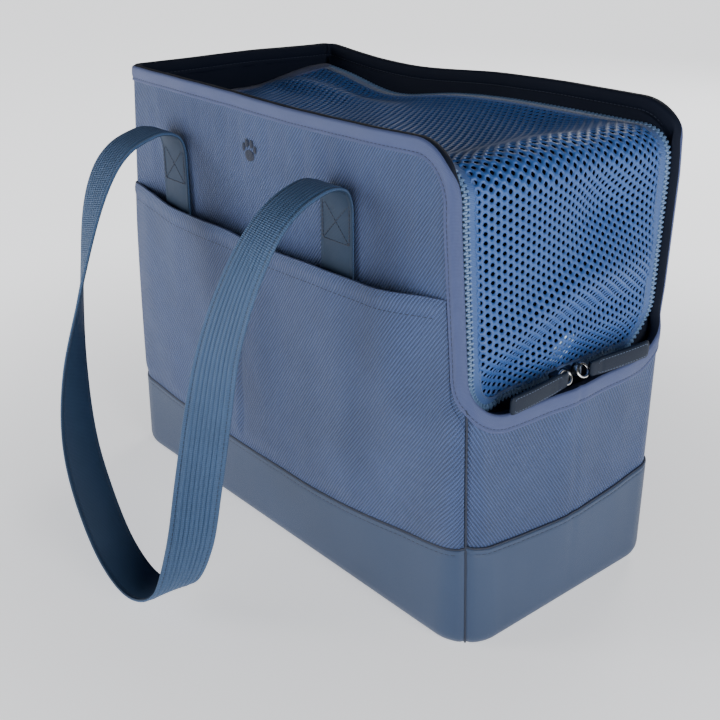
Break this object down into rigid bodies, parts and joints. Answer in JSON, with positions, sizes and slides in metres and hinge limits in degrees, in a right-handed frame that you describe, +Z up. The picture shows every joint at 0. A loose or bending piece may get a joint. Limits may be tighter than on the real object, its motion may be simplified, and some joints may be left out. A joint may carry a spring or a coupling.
{
  "type": "pet carrier bag",
  "caption": "Soft-sided pet carrier tote with a zipped mesh flap over the top and one lowered end, slip pockets and a pair of webbing carrying handles.",
  "frame": {"origin": "middle of the base on the floor", "axes": "+Z up, +X towards the lowered end with the U-shaped mouth, -Y towards the front slip pocket"},
  "size_m": [0.391, 0.4714, 0.32],
  "materials": {
    "twill": "padded ribbed twill",
    "coated_band": "coated, slightly glossy",
    "lining": "smooth dark lining",
    "cushion": "soft fleece",
    "binding_tape": "narrow woven tape",
    "mesh": "open knitted mesh",
    "zip_teeth": "moulded",
    "webbing": "ribbed webbing",
    "metal": "bright",
    "pull_tab": "coated, edge stitched"
  },
  "bodies": {
    "bag": {"panel_front": "twill", "panel_back": "twill", "panel_high_end": "twill", "panel_low_end": "twill", "pocket_front": "twill", "pocket_back": "twill", "corner_welt_low_front": "twill", "corner_welt_low_back": "twill", "corner_welt_high_front": "twill", "corner_welt_high_back": "twill", "band_front": "coated_band", "band_back": "coated_band", "band_high_end": "coated_band", "band_low_end": "coated_band", "base_panel": "coated_band", "lining_front": "lining", "lining_back": "lining", "lining_high_end": "lining", "lining_low_end": "lining", "base_board": "lining", "cushion_mat": "cushion", "rim_binding_front": "binding_tape", "rim_binding_back": "binding_tape", "rim_binding_high_end": "binding_tape", "rim_binding_mouth": "binding_tape", "zip_tape_bag": "binding_tape", "flap_hem": "mesh", "zip_teeth_bag": "zip_teeth", "handle_anchor_front_low": "webbing", "handle_anchor_front_high": "webbing", "handle_anchor_back_low": "webbing", "handle_anchor_back_high": "webbing", "tether_strap": "webbing", "tether_ring": "metal"},
    "flap": {"mesh_flap": "mesh", "flap_edge_tape": "binding_tape", "zip_teeth_flap": "zip_teeth"},
    "slider_front": {"zip_slider_front": "metal"},
    "slider_back": {"zip_slider_back": "metal"},
    "pull_front": {"pull_ring_front": "metal", "pull_tab_front": "pull_tab"},
    "pull_back": {"pull_ring_back": "metal", "pull_tab_back": "pull_tab"},
    "fold_front": {"handle_fold_front_low": "webbing", "handle_fold_front_high": "webbing"},
    "fold_back": {"handle_fold_back_low": "webbing", "handle_fold_back_high": "webbing"},
    "loop_front": {"handle_loop_front": "webbing"},
    "loop_back": {"handle_loop_back": "webbing"}
  },
  "joints": [
    {"name": "flap_hinge", "type": "hinge", "parent": "bag", "child": "flap", "pos_m": [-0.15, 0, 0.303], "axis": [0, -1, 0], "range_deg": [0, 105]},
    {"name": "slider_front_slide", "type": "slide", "parent": "bag", "child": "slider_front", "axis": [0, -1, 0], "range_m": [0, 0.042]},
    {"name": "pull_front_hinge", "type": "hinge", "parent": "slider_front", "child": "pull_front", "pos_m": [0.1876, -0.006, 0.1625], "axis": [0, 0, 1], "range_deg": [0, 80]},
    {"name": "slider_back_slide", "type": "slide", "parent": "bag", "child": "slider_back", "axis": [0, 1, 0], "range_m": [0, 0.042]},
    {"name": "pull_back_hinge", "type": "hinge", "parent": "slider_back", "child": "pull_back", "pos_m": [0.1876, 0.006, 0.1625], "axis": [0, 0, -1], "range_deg": [0, 80]},
    {"name": "handle_front_fold", "type": "hinge", "parent": "bag", "child": "fold_front", "pos_m": [-0.011, -0.1, 0.2795], "axis": [-1, 0, 0], "range_deg": [0, 104]},
    {"name": "handle_front_loop", "type": "hinge", "parent": "fold_front", "child": "loop_front", "pos_m": [-0.008, -0.148, 0.264], "axis": [-1, 0, 0], "range_deg": [0, 60]},
    {"name": "handle_back_fold", "type": "hinge", "parent": "bag", "child": "fold_back", "pos_m": [-0.011, 0.1, 0.2795], "axis": [1, 0, 0], "range_deg": [0, 104]},
    {"name": "handle_back_loop", "type": "hinge", "parent": "fold_back", "child": "loop_back", "pos_m": [-0.008, 0.148, 0.264], "axis": [1, 0, 0], "range_deg": [0, 60]}
  ],
  "couplings": [
    {"joint": "handle_front_fold", "follows": "handle_front_loop", "ratio": 1.7333},
    {"joint": "handle_back_fold", "follows": "handle_back_loop", "ratio": 1.7333}
  ]
}
